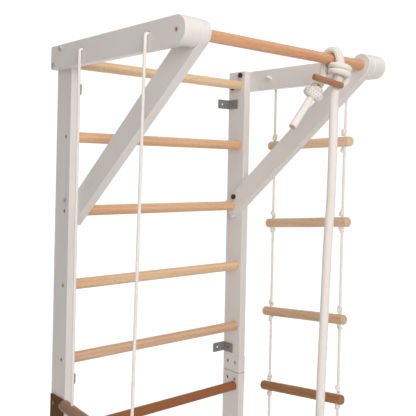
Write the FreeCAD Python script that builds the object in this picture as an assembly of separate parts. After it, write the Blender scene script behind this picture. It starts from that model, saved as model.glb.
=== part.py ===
import FreeCAD
import Part
import math
import os

# Wall bars: ten round rungs between two uprights, each in two sections. Two braced arms carry a
# pull-up bar in front, and a rope ladder, a trapeze and a climbing rope hang from arms and bar.
# Millimetres. X runs along the rungs and +Z is up. The wall is the plane Y = 0 and the bars stand
# in front of it, at negative Y. The origin is the middle of the four upper wall fixing holes.

# Frame of uprights and rungs
inner_width = 676.0
upright_thickness = 28.0
upright_depth = 85.0
upright_edge_radius = 2.5
section_end_bevel = 1.0
rungs_per_section = 5
section_count = 2
rung_pitch = 220.0
top_rung_drop = 50.0
rung_diameter = 32.0
rung_axis_from_wall = 58.0
rung_socket_depth = 18.0
socket_gap = 0.2
section_height = rungs_per_section * rung_pitch
total_height = section_count * section_height

# Countersunk screws through the uprights into the rungs, and through the arms into the bar
screw_head_diameter = 12.0
screw_head_height = 3.4
screw_shank_diameter = 5.0
screw_length = 45.0
screw_gap = 0.1
edge_search_margin = 0.1

# Joint between the lower and the upper section of an upright
joint_plate_width = 74.0
joint_plate_height = 107.0
joint_plate_thickness = 5.0
joint_plate_corner_radius = 3.0
joint_rise = 4.0
joint_bolt_half_spacing_y = 19.0
joint_bolt_half_spacing_z = 30.0
joint_bolt_diameter = 6.0
joint_bolt_head_diameter = 11.5
joint_bolt_head_height = 3.6
joint_nut_across_flats = 10.0
joint_nut_height = 5.0
joint_nut_recess_diameter = 12.2
joint_nut_recess_depth = 7.0
dowel_diameter = 10.0
dowel_length = 60.0
dowel_gap = 0.15

# Arms, spacers, braces and the pull-up bar
arm_thickness = 24.0
arm_height = 70.0
arm_rear_corner_radius = 7.0
wood_edge_radius = 2.0
bar_reach = 610.0
bar_diameter = 30.0
bar_gap = 0.2
spacer_chamfer = 2.2
brace_thickness = 28.0
brace_width = 68.0
brace_foot_past_rung = 29.5
brace_foot_rung = 3

# Hexagon bolts, nuts and domed caps that hold the arms and braces
bolt_diameter = 8.0
bolt_gap = 0.25
bolt_across_flats = 13.0
bolt_head_height = 5.3
nut_height = 6.5
bolt_end_past_nut = 0.6
cap_diameter = 18.0
cap_height = 10.5
cap_rim_height = 7.0
cap_wall = 1.2
cap_gap = 0.2
arm_bolt_front_from_wall = 62.5
arm_bolt_rear_from_wall = 22.5
arm_bolt_from_edge = 13.5
brace_bolt_before_rung = 11.0
brace_bolt_above_rung = 33.0

# Steel angles that fix the uprights to the wall
bracket_leg_on_upright = 50.0
bracket_leg_on_wall = 53.0
bracket_height = 33.0
bracket_sheet = 2.5
bracket_bend_radius = 3.5
bracket_corner_radius = 4.0
wall_hole_diameter = 7.0
wall_hole_from_upright = 33.0
bracket_screw_from_wall = 26.0
bracket_screw_length = 20.0
bracket_screw_shank_diameter = 4.5
bracket_screw_head_diameter = 8.0
bracket_screw_head_height = 2.4
upper_bracket_below_rung = 68.0
middle_bracket_below_rung = 86.0
lower_bracket_below_rung = 104.0

# Cords of the rope ladder and the trapeze, and the holes in the arms that they hang from
cord_diameter = 8.0
cord_hole_gap = 0.5
cord_hole_edge_radius = 4.0
cord_hole_below_arm_top = 30.0
cord_pivot_gap = 0.3
knot_diameter = 17.0
knot_height = 15.0
knot_waist_diameter = 13.6
knot_end_diameter = 11.0
knot_bore_gap = 0.15
knot_seat_gap = 0.3
upper_knot_gap = 6.0
rear_cord_from_wall = 186.0
front_cord_behind_bar = 110.0

# Rope ladder, to the right of the right arm
ladder_rung_diameter = 31.5
ladder_rung_end_radius = 5.0
ladder_rung_past_rear_cord = 28.0
ladder_rung_past_front_cord = 26.0
ladder_cords_closer = 12.0
ladder_pitch = 280.0
ladder_rung_drop_shares = (0.84, 1.795, 2.918, 3.854, 4.857, 5.857)
ladder_rung_shift_shares = (0.19, 0.09, -0.11, -0.18, 0, 0)
ladder_rung_tilts_deg = (1.9, 5.1, 5.5, 7.2, 4.0, 5.0)

# Trapeze, to the left of the left arm
trapeze_bar_diameter = 32.0
trapeze_bar_end_radius = 12.0
trapeze_past_rear_cord = 54.0
trapeze_past_front_cord = 54.0
trapeze_cords_closer = 25.0
trapeze_cord_stand_off = 4.0
trapeze_drop = 1007.0
trapeze_tilt_deg = 3.4

# Climbing rope on the pull-up bar. Its knots, turn and tail are shares of the rope's diameter.
rope_diameter = 25.0
rope_gap = 0.35
rope_place_share = 0.5142
turn_height_share = 1.24
turn_width_share = 0.9
rope_knot_diameter_share = 2.8
rope_knot_height_share = 1.84
rope_knot_waist_share = 2.32
rope_knot_end_share = 1.6
tail_diameter_share = 0.84
tail_length_share = 4.7
peg_diameter = 18.0
peg_end_radius = 2.5

# Places that follow from the sizes
inner_x = inner_width / 2
outer_x = inner_x + upright_thickness
arm_outer_x = outer_x + arm_thickness
brace_inner_x = inner_x - brace_thickness
rung_count = section_count * rungs_per_section
rung_heights = [total_height - top_rung_drop - i * rung_pitch for i in range(rung_count)]
bracket_heights = [
    rung_heights[0] - upper_bracket_below_rung,
    rung_heights[rungs_per_section - 1] - middle_bracket_below_rung,
    rung_heights[-2] - lower_bracket_below_rung,
]
origin_height = (bracket_heights[0] + bracket_heights[1]) / 2
floor_z = -origin_height
top_z = floor_z + total_height
seam_z = floor_z + section_height
rung_y = -rung_axis_from_wall
bar_y = -bar_reach
bar_z = top_z - arm_height / 2
rung_zs = [floor_z + height for height in rung_heights]
foot_rung_z = rung_zs[brace_foot_rung - 1]
cord_hole_z = top_z - cord_hole_below_arm_top
cord_hole_radius = cord_diameter / 2 + cord_hole_gap
cord_bend_radius = cord_hole_edge_radius + cord_hole_radius
cord_x = arm_outer_x - cord_hole_edge_radius + cord_bend_radius
trapeze_x = -(cord_x + trapeze_cord_stand_off)
cord_pivot_z = cord_hole_z - cord_bend_radius - cord_pivot_gap - cord_diameter / 2
rope_x = inner_x * rope_place_share
rope_strand_y = bar_diameter / 2 + rope_diameter / 2 + rope_gap
strand_share = rope_strand_y / rope_diameter
rope_knot_height = rope_diameter * rope_knot_height_share
turn_height = rope_diameter * turn_height_share
turn_width = rope_diameter * turn_width_share

# Route of the climbing rope on its centre line, counted in rope diameters from the rope's place on
# the bar's axis. The hanging rope's heights are shares of the whole height instead.
loop_route_shares = [
    (0, -0.48, -6), (0, -0.48, -3.52), (0.128, -strand_share, -2.08),
    (0.128, -strand_share, strand_share), (0.168, strand_share, strand_share),
    (0.168, strand_share, -1.2), (-0.952, 0.44, -2.312), (-1.848, 0.38, -3.28),
]
hang_route_shares = [
    (0.288, -0.24, 0.8136), (0.168, 0.16, 0.7455), (0.148, 0.36, 0.6545), (-0.012, 0.6, 0.5364),
    (-0.152, 0.48, 0.4), (-0.152, 0.12, 0.2682), (-0.072, -0.12, 0.15),
]
turn_centre_share = (0.128, -strand_share, -1.36)
peg_end_shares = [(-4.092, -0.9, -2.492), (-0.052, -1.605, -3.16)]


def vec(x, y, z):
    return FreeCAD.Vector(x, y, z)


def save(name, *solids):
    shape = solids[0] if len(solids) == 1 else Part.makeCompound(list(solids))
    shape.exportStep("parts/" + name + ".step")


def mirrored(shape):
    return shape.mirror(vec(0, 0, 0), vec(1, 0, 0))


def block(x0, x1, y0, y1, z0, z1):
    return Part.makeBox(x1 - x0, y1 - y0, z1 - z0, vec(x0, y0, z0))


def rod(diameter, start, end):
    """Cylinder with the given diameter between two points."""
    return Part.makeCylinder(diameter / 2, (end - start).Length, start, end - start)


def rounded_rod(diameter, start, end, end_radius):
    body = rod(diameter, start, end)
    rims = [edge for edge in body.Edges if edge.Closed]
    return body.makeFillet(end_radius, rims)


def cross_rod(diameter, x0, x1, y, z):
    """Cylinder parallel to the rungs."""
    return rod(diameter, vec(x0, y, z), vec(x1, y, z))


def hexagon_prism(across_flats, x0, x1, y, z):
    corner_radius = across_flats / math.sqrt(3)
    corners = []
    for i in range(7):
        angle = math.radians(60 * i)
        corners.append(vec(x0, y + corner_radius * math.cos(angle), z + corner_radius * math.sin(angle)))
    return Part.Face(Part.makePolygon(corners)).extrude(vec(x1 - x0, 0, 0))


def turned(profile, start, along):
    """Solid of revolution: profile points are (radius, distance along), arcs have three points."""
    edges = []
    for piece in profile:
        points = [vec(radius, 0, distance) for radius, distance in piece]
        if len(points) == 2:
            edges.append(Part.LineSegment(*points).toShape())
        else:
            edges.append(Part.Arc(*points).toShape())
    face = Part.Face(Part.Wire(edges))
    solid = face.revolve(vec(0, 0, 0), vec(0, 0, 1), 360)
    solid.Placement = FreeCAD.Placement(start, FreeCAD.Rotation(vec(0, 0, 1), along))
    return solid


def countersunk_screw(surface, along, length, grow):
    """Screw whose flat head lies in the surface; grow widens it into the hole that it needs."""
    head = screw_head_diameter / 2 + grow
    shank = screw_shank_diameter / 2 + grow
    deep = screw_head_height
    profile = [
        [(0, 0), (head, 0)], [(head, 0), (shank, deep)], [(shank, deep), (shank, length)],
        [(shank, length), (0, length)], [(0, length), (0, 0)],
    ]
    return turned(profile, surface, along)


def drilled(solid, *holes):
    for hole in holes:
        solid = solid.cut(hole)
    return solid


def softened(board, radius, along):
    """Round the edges of a rectangular board that run parallel to one direction."""
    edges = []
    for edge in board.Edges:
        line = (edge.Vertexes[-1].Point - edge.Vertexes[0].Point).normalize()
        if abs(line.dot(along)) > 0.999:
            edges.append(edge)
    return board.makeFillet(radius, edges)


def rounded(solid, radius, chosen):
    """Round the edges whose bounding boxes pass a test."""
    return solid.makeFillet(radius, [edge for edge in solid.Edges if chosen(edge.BoundBox)])


def smooth_path(points):
    """Straight runs joined by tangent arcs, each as large as its two runs allow."""
    edges = []
    radii = []
    here = points[0]
    for i in range(1, len(points) - 1):
        before = (points[i] - points[i - 1])
        after = (points[i + 1] - points[i])
        cut_back = 0.45 * min(before.Length, after.Length)
        before.normalize()
        after.normalize()
        turn = before.getAngle(after)
        arc_start = points[i] - before * cut_back
        arc_end = points[i] + after * cut_back
        radius = cut_back / math.tan(turn / 2)
        to_centre = (after - before).normalize()
        centre = points[i] + to_centre * math.hypot(radius, cut_back)
        middle = centre - to_centre * radius
        edges.append(Part.LineSegment(here, arc_start).toShape())
        edges.append(Part.Arc(arc_start, middle, arc_end).toShape())
        radii.append(radius)
        here = arc_end
    edges.append(Part.LineSegment(here, points[-1]).toShape())
    return Part.Wire(edges), radii


def cord_tube(name, points, diameter):
    """Round tube along a route, with its volume and radii printed."""
    path, radii = smooth_path(points)
    circle = Part.makeCircle(diameter / 2, points[0], points[1] - points[0])
    tube = path.makePipeShell([Part.Wire(circle)], True, False)
    expected = math.pi * diameter ** 2 / 4 * path.Length
    ratio = tube.Volume / expected
    shown = ", ".join("%.1f" % radius for radius in radii)
    print("%s: length %.1f, volume ratio %.5f, radii %s" % (name, path.Length, ratio, shown))
    return tube


def cord_centre(tube, z):
    """Where a hanging tube's centre line crosses a height."""
    ring = tube.slice(vec(0, 0, 1), z)[0]
    return Part.Face(ring).CenterOfMass


def crown(radius, low, high):
    """Arc of a dome on the axis, from its rim at height low to its top."""
    rise = high - low
    ball_radius = (rise ** 2 + radius ** 2) / (2 * rise)
    half_angle = math.atan2(radius, ball_radius - rise) / 2
    middle = (ball_radius * math.sin(half_angle), high - ball_radius * (1 - math.cos(half_angle)))
    return [(radius, low), middle, (0, high)]


def ball(diameter, centre):
    return Part.makeSphere(diameter / 2, centre)


def knot(base, along, diameter, height, waist, ends, bore):
    """Stopper knot of two turns side by side, with the bore that its cord fills."""
    outer = diameter / 2
    neck = waist / 2
    rim = ends / 2
    hole = bore / 2
    profile = [
        [(hole, 0), (rim, 0)], [(rim, 0), (outer, height / 4), (neck, height / 2)],
        [(neck, height / 2), (outer, height - height / 4), (rim, height)],
        [(rim, height), (hole, height)], [(hole, height), (hole, 0)],
    ]
    return turned(profile, base, along)


def small_knot(base, along):
    bore = cord_diameter + 2 * knot_bore_gap
    return knot(base, along, knot_diameter, knot_height, knot_waist_diameter, knot_end_diameter, bore)


def rope_knot(base, along, bore):
    across = [share * rope_diameter for share in (rope_knot_waist_share, rope_knot_end_share)]
    return knot(base, along, rope_diameter * rope_knot_diameter_share, rope_knot_height, *across, bore)


os.makedirs("parts", exist_ok=True)

# How far a bounding box may stray in the search for edges
near = edge_search_margin

# Places of the fasteners on the right-hand side, as y and z
arm_bolt_places = [
    (-arm_bolt_front_from_wall, top_z - arm_bolt_from_edge),
    (-arm_bolt_rear_from_wall, top_z - arm_height + arm_bolt_from_edge),
]
brace_bolt_place = (rung_y - brace_bolt_before_rung, foot_rung_z + brace_bolt_above_rung)
joint_y = -upright_depth / 2
joint_z = seam_z + joint_rise
joint_bolt_places = [
    (joint_y + across * joint_bolt_half_spacing_y, joint_z + up * joint_bolt_half_spacing_z)
    for up in (1, -1) for across in (1, -1)
]
bracket_zs = [floor_z + height for height in bracket_heights]

# Rung screws, and the holes that they need in upright and rung
right = vec(1, 0, 0)
left = vec(-1, 0, 0)
upwards = vec(0, 0, 1)
screw_places = [vec(outer_x, rung_y, z) for z in rung_zs]
rung_screws = [countersunk_screw(place, left, screw_length, 0) for place in screw_places]
rung_screw_holes = [countersunk_screw(place, left, screw_length, screw_gap) for place in screw_places]
save("rung_screws", *rung_screws, *[mirrored(screw) for screw in rung_screws])

# Rungs, seated in blind sockets in the uprights
rung_half_length = inner_x + rung_socket_depth - socket_gap
for number, z in enumerate(rung_zs, 1):
    rung = cross_rod(rung_diameter, -rung_half_length, rung_half_length, rung_y, z)
    hole = rung_screw_holes[number - 1]
    save("rung_%d" % number, drilled(rung, hole, mirrored(hole)))

# Uprights
socket_diameter = rung_diameter + 2 * socket_gap
bolt_hole_diameter = bolt_diameter + 2 * bolt_gap
joint_hole_diameter = joint_bolt_diameter + 2 * bolt_gap
socket_end_x = inner_x + rung_socket_depth
nut_face_x = inner_x + joint_nut_recess_depth
upright_holes = [cross_rod(socket_diameter, inner_x, socket_end_x, rung_y, z) for z in rung_zs]
upright_holes += rung_screw_holes
for y, z in arm_bolt_places + [brace_bolt_place]:
    upright_holes.append(cross_rod(bolt_hole_diameter, inner_x, outer_x, y, z))
for y, z in joint_bolt_places:
    upright_holes.append(cross_rod(joint_hole_diameter, inner_x, outer_x, y, z))
    upright_holes.append(cross_rod(joint_nut_recess_diameter, inner_x, nut_face_x, y, z))
dowel_x = (inner_x + outer_x) / 2
dowel_bottom = vec(dowel_x, joint_y, seam_z - dowel_length / 2)
dowel_top = vec(dowel_x, joint_y, seam_z + dowel_length / 2)
clear_up = upwards * dowel_gap
upright_holes.append(rod(dowel_diameter + 2 * dowel_gap, dowel_bottom - clear_up, dowel_top + clear_up))
bracket_screw_y = -bracket_screw_from_wall
bracket_screw_hole = bracket_screw_shank_diameter + 2 * screw_gap
hole_end_x = inner_x + bracket_screw_length + screw_gap
for z in bracket_zs:
    upright_holes.append(cross_rod(bracket_screw_hole, inner_x, hole_end_x, bracket_screw_y, z))
for level, bottom in (("lower", floor_z), ("upper", seam_z)):
    post = block(inner_x, outer_x, -upright_depth, 0, bottom, bottom + section_height)
    post = softened(post, upright_edge_radius, upwards)
    post = post.makeChamfer(section_end_bevel, [edge for edge in post.Edges if edge.BoundBox.ZLength < near])
    post = drilled(post, *upright_holes)
    save("upright_right_" + level, post)
    save("upright_left_" + level, mirrored(post))
dowel = rod(dowel_diameter, dowel_bottom, dowel_top)
save("joint_dowels", dowel, mirrored(dowel))

# Joint plates, their bolts and the nuts sunk in the uprights' inner faces
plate_outer_x = outer_x + joint_plate_thickness
plate_front_y = joint_y - joint_plate_width / 2
plate_bottom_z = joint_z - joint_plate_height / 2
plate = block(outer_x, plate_outer_x, plate_front_y, plate_front_y + joint_plate_width,
              plate_bottom_z, plate_bottom_z + joint_plate_height)
plate = softened(plate, joint_plate_corner_radius, right)
nut_end_x = nut_face_x - joint_nut_height
shank_length = plate_outer_x - nut_end_x
shank_radius = joint_bolt_diameter / 2
head_radius = joint_bolt_head_diameter / 2
head_side_height = joint_bolt_head_height / 2
joint_bolt_outline = [
    [(0, -shank_length), (shank_radius, -shank_length)],
    [(shank_radius, -shank_length), (shank_radius, 0)],
    [(shank_radius, 0), (head_radius, 0)], [(head_radius, 0), (head_radius, head_side_height)],
    crown(head_radius, head_side_height, joint_bolt_head_height),
    [(0, joint_bolt_head_height), (0, -shank_length)],
]
joint_bolts = []
joint_nuts = []
for y, z in joint_bolt_places:
    plate = drilled(plate, cross_rod(joint_hole_diameter, outer_x, plate_outer_x, y, z))
    joint_bolts.append(turned(joint_bolt_outline, vec(plate_outer_x, y, z), right))
    nut = hexagon_prism(joint_nut_across_flats, nut_end_x, nut_face_x, y, z)
    joint_nuts.append(drilled(nut, cross_rod(joint_bolt_diameter, nut_end_x, nut_face_x, y, z)))
save("joint_plate_right", plate)
save("joint_plate_left", mirrored(plate))
save("joint_bolts", *joint_bolts, *[mirrored(bolt) for bolt in joint_bolts])
save("joint_nuts", *joint_nuts, *[mirrored(nut) for nut in joint_nuts])

# Arms with round front ends, drilled for the bolts, the bar's screw and the cords
arm_bottom_z = top_z - arm_height
arm_radius = arm_height / 2
corner = arm_rear_corner_radius
slant = corner * (1 - math.sqrt(0.5))
arm_edges = [
    Part.LineSegment(vec(outer_x, -corner, top_z), vec(outer_x, bar_y, top_z)),
    Part.Arc(vec(outer_x, bar_y, top_z), vec(outer_x, bar_y - arm_radius, bar_z),
             vec(outer_x, bar_y, arm_bottom_z)),
    Part.LineSegment(vec(outer_x, bar_y, arm_bottom_z), vec(outer_x, -corner, arm_bottom_z)),
    Part.Arc(vec(outer_x, -corner, arm_bottom_z), vec(outer_x, -slant, arm_bottom_z + slant),
             vec(outer_x, 0, arm_bottom_z + corner)),
    Part.LineSegment(vec(outer_x, 0, arm_bottom_z + corner), vec(outer_x, 0, top_z - corner)),
    Part.Arc(vec(outer_x, 0, top_z - corner), vec(outer_x, -slant, top_z - slant),
             vec(outer_x, -corner, top_z)),
]
arm = Part.Face(Part.Wire([edge.toShape() for edge in arm_edges])).extrude(right * arm_thickness)
arm = rounded(arm, wood_edge_radius, lambda box: box.XMin > outer_x + arm_thickness / 2)
for y, z in arm_bolt_places:
    arm = drilled(arm, cross_rod(bolt_hole_diameter, outer_x, arm_outer_x, y, z))
bar_screw_place = vec(arm_outer_x, bar_y, bar_z)
bar_screw = countersunk_screw(bar_screw_place, left, screw_length, 0)
bar_screw_hole = countersunk_screw(bar_screw_place, left, screw_length, screw_gap)
arm = drilled(arm, bar_screw_hole)
straight_depth = arm_thickness - cord_hole_edge_radius
flare_radius = cord_hole_radius + cord_hole_edge_radius
quarter = cord_hole_edge_radius * (1 - math.sqrt(0.5))
cord_hole_outline = [
    [(0, 0), (cord_hole_radius, 0)], [(cord_hole_radius, 0), (cord_hole_radius, straight_depth)],
    [(cord_hole_radius, straight_depth), (cord_hole_radius + quarter, arm_thickness - quarter),
     (flare_radius, arm_thickness)],
    [(flare_radius, arm_thickness), (0, arm_thickness)], [(0, arm_thickness), (0, 0)],
]
cord_ys = (-rear_cord_from_wall, front_cord_behind_bar - bar_reach)
cord_spread = cord_ys[0] - cord_ys[1]
for y in cord_ys:
    arm = drilled(arm, turned(cord_hole_outline, vec(outer_x, y, cord_hole_z), right))
save("arm_right", arm)
save("arm_left", mirrored(arm))

# Spacers between arm and brace, with a bevel that shows as a groove beside the brace
bar_bore_diameter = bar_diameter + 2 * bar_gap
spacer = cross_rod(arm_height, inner_x, outer_x, bar_y, bar_z)
inner_edge = [edge for edge in spacer.Edges if edge.BoundBox.XMax < outer_x - spacer_chamfer]
spacer = spacer.makeChamfer(spacer_chamfer, inner_edge)
spacer = drilled(spacer, cross_rod(bar_bore_diameter, inner_x, outer_x, bar_y, bar_z))
save("spacer_right", spacer)
save("spacer_left", mirrored(spacer))

# Pull-up bar, which runs through braces and spacers to the arms' inner faces
bar = cross_rod(bar_diameter, -outer_x, outer_x, bar_y, bar_z)
save("pull_up_bar", drilled(bar, bar_screw_hole, mirrored(bar_screw_hole)))
save("bar_end_screws", bar_screw, mirrored(bar_screw))

# Braces, from the bar down to the rung that passes through their feet
brace_line = vec(0, rung_y - bar_y, foot_rung_z - bar_z)
brace_length = brace_line.Length + brace_foot_past_rung
brace_line.normalize()
brace_side = right.cross(brace_line)
brace_half = brace_width / 2
bar_point = vec(brace_inner_x, bar_y, bar_z)
foot_point = bar_point + brace_line * brace_length
upper_start = bar_point + brace_side * brace_half
lower_start = bar_point - brace_side * brace_half
upper_foot = foot_point + brace_side * brace_half
lower_foot = foot_point - brace_side * brace_half
brace_edges = [
    Part.LineSegment(upper_start, upper_foot), Part.LineSegment(upper_foot, lower_foot),
    Part.LineSegment(lower_foot, lower_start),
    Part.Arc(lower_start, bar_point - brace_line * brace_half, upper_start),
]
brace = Part.Face(Part.Wire([edge.toShape() for edge in brace_edges])).extrude(right * brace_thickness)
brace = brace.makeFillet(wood_edge_radius, brace.Edges)
brace = drilled(
    brace,
    cross_rod(bar_bore_diameter, brace_inner_x, inner_x, bar_y, bar_z),
    cross_rod(socket_diameter, brace_inner_x, inner_x, rung_y, foot_rung_z),
    cross_rod(bolt_hole_diameter, brace_inner_x, inner_x, *brace_bolt_place),
)
save("brace_right", brace)
save("brace_left", mirrored(brace))


def hexagon_bolt(head_x, nut_x, y, z):
    """Bolt with its head's seat at head_x, which reaches just through a nut seated at nut_x."""
    tip_x = nut_x - nut_height - bolt_end_past_nut
    head = hexagon_prism(bolt_across_flats, head_x, head_x + bolt_head_height, y, z)
    return cross_rod(bolt_diameter, tip_x, head_x, y, z).fuse(head).removeSplitter()


def hexagon_nut(nut_x, y, z):
    nut = hexagon_prism(bolt_across_flats, nut_x - nut_height, nut_x, y, z)
    return drilled(nut, cross_rod(bolt_diameter, nut_x - nut_height, nut_x, y, z))


def domed_cap(seat_x, y, z):
    """Hollow plastic cap over a nut, with a round crown."""
    rim = cap_diameter / 2
    inside = rim - cap_wall
    ceiling = nut_height + bolt_end_past_nut + cap_gap
    outline = [
        [(inside, 0), (rim, 0)], [(rim, 0), (rim, cap_rim_height)], crown(rim, cap_rim_height, cap_height),
        [(0, cap_height), (0, ceiling)], [(0, ceiling), (inside, ceiling)], [(inside, ceiling), (inside, 0)],
    ]
    return turned(outline, vec(seat_x, y, z), left)


arm_bolts = [hexagon_bolt(arm_outer_x, inner_x, y, z) for y, z in arm_bolt_places]
brace_bolt = hexagon_bolt(outer_x, brace_inner_x, *brace_bolt_place)
bolt_nuts = [hexagon_nut(inner_x, y, z) for y, z in arm_bolt_places]
bolt_nuts.append(hexagon_nut(brace_inner_x, *brace_bolt_place))
bolt_caps = [domed_cap(inner_x, y, z) for y, z in arm_bolt_places]
bolt_caps.append(domed_cap(brace_inner_x, *brace_bolt_place))
save("arm_bolts", *arm_bolts, *[mirrored(bolt) for bolt in arm_bolts])
save("brace_bolts", brace_bolt, mirrored(brace_bolt))
save("bolt_nuts", *bolt_nuts, *[mirrored(nut) for nut in bolt_nuts])
save("bolt_caps", *bolt_caps, *[mirrored(cap) for cap in bolt_caps])

# Wall brackets, bent from sheet steel, and the screws that hold them on the uprights
wall_end_x = inner_x - bracket_leg_on_wall
leg_end_y = -bracket_leg_on_upright
seat_x = inner_x - bracket_sheet
low = -bracket_height / 2
high = bracket_height / 2
angle = block(wall_end_x, inner_x, leg_end_y, 0, low, high)
angle = angle.cut(block(wall_end_x, seat_x, leg_end_y, -bracket_sheet, low, high))
angle = rounded(angle, bracket_bend_radius, lambda box: box.XMin > inner_x - near and box.YMin > -near)
angle = rounded(angle, bracket_corner_radius, lambda box: box.XMax < wall_end_x + near and box.ZLength < near)
angle = rounded(angle, bracket_corner_radius, lambda box: box.YMax < leg_end_y + near and box.ZLength < near)
wall_hole_x = inner_x - wall_hole_from_upright
wall_hole = rod(wall_hole_diameter, vec(wall_hole_x, 0, 0), vec(wall_hole_x, -bracket_sheet, 0))
leg_hole = cross_rod(bracket_screw_hole, seat_x, inner_x, bracket_screw_y, 0)
angle = drilled(angle, wall_hole, leg_hole)
reach = bracket_sheet + bracket_screw_length
shank_radius = bracket_screw_shank_diameter / 2
head_radius = bracket_screw_head_diameter / 2
bracket_screw_outline = [
    [(0, -reach), (shank_radius, -reach)], [(shank_radius, -reach), (shank_radius, 0)],
    [(shank_radius, 0), (head_radius, 0)], crown(head_radius, 0, bracket_screw_head_height),
    [(0, bracket_screw_head_height), (0, -reach)],
]
brackets = [angle.translated(upwards * z) for z in bracket_zs]
bracket_screws = [turned(bracket_screw_outline, vec(seat_x, bracket_screw_y, z), left) for z in bracket_zs]
save("wall_brackets_right", *brackets)
save("wall_brackets_left", *[mirrored(bracket) for bracket in brackets])
save("bracket_screws", *bracket_screws, *[mirrored(screw) for screw in bracket_screws])

# Cords through the arms: each leaves its stopper knot, passes the hole and turns down outside
knot_end_x = outer_x - knot_seat_gap - knot_height


def cord_top(y, down_x):
    """Stretch of a cord from its stopper knot through the right arm, to where it hangs at down_x."""
    bend_x = down_x - cord_bend_radius
    bend_drop = cord_bend_radius * (1 - math.sqrt(0.5))
    start = vec(knot_end_x, y, cord_hole_z)
    bend_start = vec(bend_x, y, cord_hole_z)
    bend_middle = vec(bend_x + cord_bend_radius * math.sqrt(0.5), y, cord_hole_z - bend_drop)
    bend_end = vec(down_x, y, cord_hole_z - cord_bend_radius)
    path = Part.Wire([
        Part.LineSegment(start, bend_start).toShape(),
        Part.Arc(bend_start, bend_middle, bend_end).toShape(),
    ])
    section = Part.Wire(Part.makeCircle(cord_diameter / 2, start, right))
    return path.makePipeShell([section], True, False)


stopper_knots = [small_knot(vec(knot_end_x, y, cord_hole_z), right) for y in cord_ys]
save("ladder_cord_tops", *[cord_top(y, cord_x) for y in cord_ys])
save("ladder_stopper_knots", *stopper_knots)
save("trapeze_cord_tops", *[mirrored(cord_top(y, -trapeze_x)) for y in cord_ys])
save("trapeze_stopper_knots", *[mirrored(tie) for tie in stopper_knots])


def hung_rod(diameter, length, end_radius, rear_point, past_cord, climb):
    """Wooden rod on two cords, which starts behind the rear cord and climbs forward by the slope."""
    along = vec(0, -1, climb).normalize()
    start = rear_point - along * past_cord
    return rounded_rod(diameter, start, start + along * length, end_radius)


def crossing(tube, rear_point, climb):
    """Where a cord meets the axis of a rod that climbs forward from the rear cord."""
    forward = rear_point.y - cord_centre(tube, rear_point.z).y
    return cord_centre(tube, rear_point.z + climb * forward)


def cord_hole(point, reach):
    """Upright hole for a cord, which reaches as far above and below a point."""
    return rod(cord_diameter + 2 * cord_hole_gap, point - upwards * reach, point + upwards * reach)


def knot_by_rod(tube, point, climb, rod_diameter, side):
    """Knot on a cord, above (side 1) or close below (side -1) the rod that it passes through."""
    reach = rod_diameter / 2 * math.hypot(1, climb)
    gap = upper_knot_gap if side > 0 else knot_seat_gap
    offset = reach + knot_diameter / 2 * abs(climb) + gap
    near = cord_centre(tube, point.z + side * offset)
    far = cord_centre(tube, point.z + side * (offset + knot_height))
    return small_knot(near, far - near)


def hanging_cord(name, points, diameter):
    """Cord tube, and the same with a round top centred on the line that it swings about."""
    tube = cord_tube(name, points, diameter)
    return tube, tube.fuse(ball(diameter, points[0])).removeSplitter()


# Rope ladder
ladder_zs = [cord_hole_z - ladder_pitch * share for share in ladder_rung_drop_shares]
ladder_bottom_z = ladder_zs[-1] - ladder_rung_diameter - 2 * knot_height
ladder_spread = cord_spread - ladder_cords_closer
ladder_rung_length = ladder_rung_past_rear_cord + ladder_spread + ladder_rung_past_front_cord
ladder_front_y = cord_ys[0] - ladder_spread
ladder_routes = {
    "rear": [vec(cord_x, cord_ys[0], cord_pivot_z), vec(cord_x, cord_ys[0], ladder_bottom_z)],
    "front": [
        vec(cord_x, cord_ys[1], cord_pivot_z), vec(cord_x, ladder_front_y, ladder_zs[0]),
        vec(cord_x, ladder_front_y, ladder_bottom_z),
    ],
}
ladder_tubes = []
for place, points in ladder_routes.items():
    tube, shape = hanging_cord("ladder_cord_" + place, points, cord_diameter)
    ladder_tubes.append(tube)
    save("ladder_cord_" + place, shape)
ladder_knots = []
for number, z in enumerate(ladder_zs, 1):
    climb = math.tan(math.radians(ladder_rung_tilts_deg[number - 1]))
    rear_point = vec(cord_x, cord_ys[0], z - climb * ladder_spread / 2)
    past_rear = ladder_rung_past_rear_cord - ladder_rung_diameter * ladder_rung_shift_shares[number - 1]
    rung = hung_rod(ladder_rung_diameter, ladder_rung_length, ladder_rung_end_radius,
                    rear_point, past_rear, climb)
    for tube in ladder_tubes:
        point = crossing(tube, rear_point, climb)
        rung = drilled(rung, cord_hole(point, ladder_rung_diameter))
        ladder_knots += [knot_by_rod(tube, point, climb, ladder_rung_diameter, side) for side in (1, -1)]
    save("ladder_rung_%d" % number, rung)
save("ladder_knots", *ladder_knots)

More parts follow.
